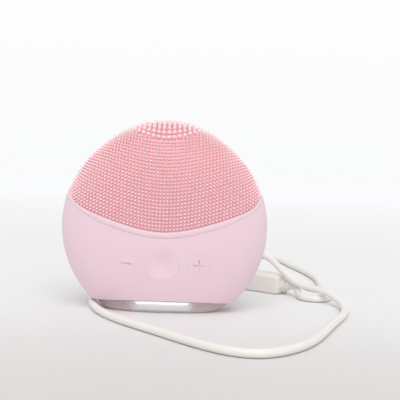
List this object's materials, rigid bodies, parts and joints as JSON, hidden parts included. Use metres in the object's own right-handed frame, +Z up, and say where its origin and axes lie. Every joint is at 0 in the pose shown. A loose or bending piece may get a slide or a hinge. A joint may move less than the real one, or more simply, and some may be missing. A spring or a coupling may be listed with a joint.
{
  "type": "facial cleansing brush",
  "caption": "Palm-size lens-shaped facial brush with silicone bristle pads, press keys under a smooth skin, a clear foot, an internal vibration motor and a USB charging lead.",
  "frame": {"origin": "middle of the clear foot's underside", "axes": "+X to the viewer's right when facing the keys, +Y from the key side to the charging jack, +Z up"},
  "size_m": [0.1091, 0.235, 0.0709],
  "materials": {
    "pale_silicone": "satin pale pink silicone",
    "brush_silicone": "satin rose silicone",
    "white_plastic": "moulded white ABS",
    "clear_plastic": "polished clear acrylic",
    "frosted_plastic": "frosted light-guide acrylic",
    "grey_rubber": "dark grey sealing rubber",
    "dark_plastic": "black moulded plastic",
    "steel": "plated steel",
    "board": "green glass-fibre board",
    "cell_foil": "foil pouch",
    "foam": "foam tape",
    "brass": "plain bearing metal",
    "wire_red": "insulated wire",
    "wire_black": "insulated wire",
    "cord_plastic": "soft off-white PVC"
  },
  "bodies": {
    "housing": {"front_skin": "pale_silicone", "rear_skin": "pale_silicone", "front_brush_pad": "brush_silicone", "rear_brush_pad": "brush_silicone", "front_shell": "white_plastic", "rear_shell": "white_plastic", "shell_gasket": "grey_rubber", "shell_screw_1": "steel", "shell_screw_2": "steel", "shell_screw_3": "steel", "shell_screw_4": "steel", "clear_foot": "clear_plastic", "light_guide": "frosted_plastic", "foot_screw_left": "steel", "foot_screw_right": "steel", "circuit_board": "board", "board_screw_1": "steel", "board_screw_2": "steel", "board_screw_3": "steel", "board_screw_4": "steel", "control_chip": "dark_plastic", "status_lamp": "frosted_plastic", "minus_switch_case": "dark_plastic", "power_switch_case": "dark_plastic", "plus_switch_case": "dark_plastic", "battery_cell": "cell_foil", "battery_tape": "foam", "battery_wire_red": "wire_red", "battery_wire_black": "wire_black", "motor_can": "steel", "motor_end_cap": "dark_plastic", "motor_bearing": "brass", "motor_sleeve": "grey_rubber", "motor_bracket": "white_plastic", "bracket_screw_left": "steel", "bracket_screw_right": "steel", "motor_wire_red": "wire_red", "motor_wire_black": "wire_black", "charge_jack": "dark_plastic", "jack_wire_red": "wire_red", "jack_wire_black": "wire_black", "jack_plug_pin": "steel", "jack_plug_body": "cord_plastic", "jack_plug_relief": "cord_plastic", "charge_cord": "cord_plastic", "usb_plug_relief": "cord_plastic", "usb_plug_body": "cord_plastic", "usb_plug_shell": "steel", "usb_plug_tongue": "dark_plastic"},
    "minus_key": {"minus_key_cap": "pale_silicone", "minus_key_pusher": "white_plastic", "minus_switch_plunger": "white_plastic"},
    "power_key": {"power_key_cap": "pale_silicone", "power_key_pusher": "white_plastic", "power_switch_plunger": "white_plastic"},
    "plus_key": {"plus_key_cap": "pale_silicone", "plus_key_pusher": "white_plastic", "plus_switch_plunger": "white_plastic"},
    "motor_rotor": {"motor_shaft": "steel", "eccentric_weight": "steel"}
  },
  "joints": [
    {"name": "minus_key_press", "type": "slide", "parent": "housing", "child": "minus_key", "axis": [0, 1, 0], "range_m": [0, 0.0004], "stiffness_N_per_m": 2500},
    {"name": "power_key_press", "type": "slide", "parent": "housing", "child": "power_key", "axis": [0, 1, 0], "range_m": [0, 0.0004], "stiffness_N_per_m": 2500},
    {"name": "plus_key_press", "type": "slide", "parent": "housing", "child": "plus_key", "axis": [0, 1, 0], "range_m": [0, 0.0004], "stiffness_N_per_m": 2500},
    {"name": "rotor_spin", "type": "hinge", "parent": "housing", "child": "motor_rotor", "pos_m": [0.0086, 0, 0.052], "axis": [1, 0, 0], "continuous": true}
  ]
}
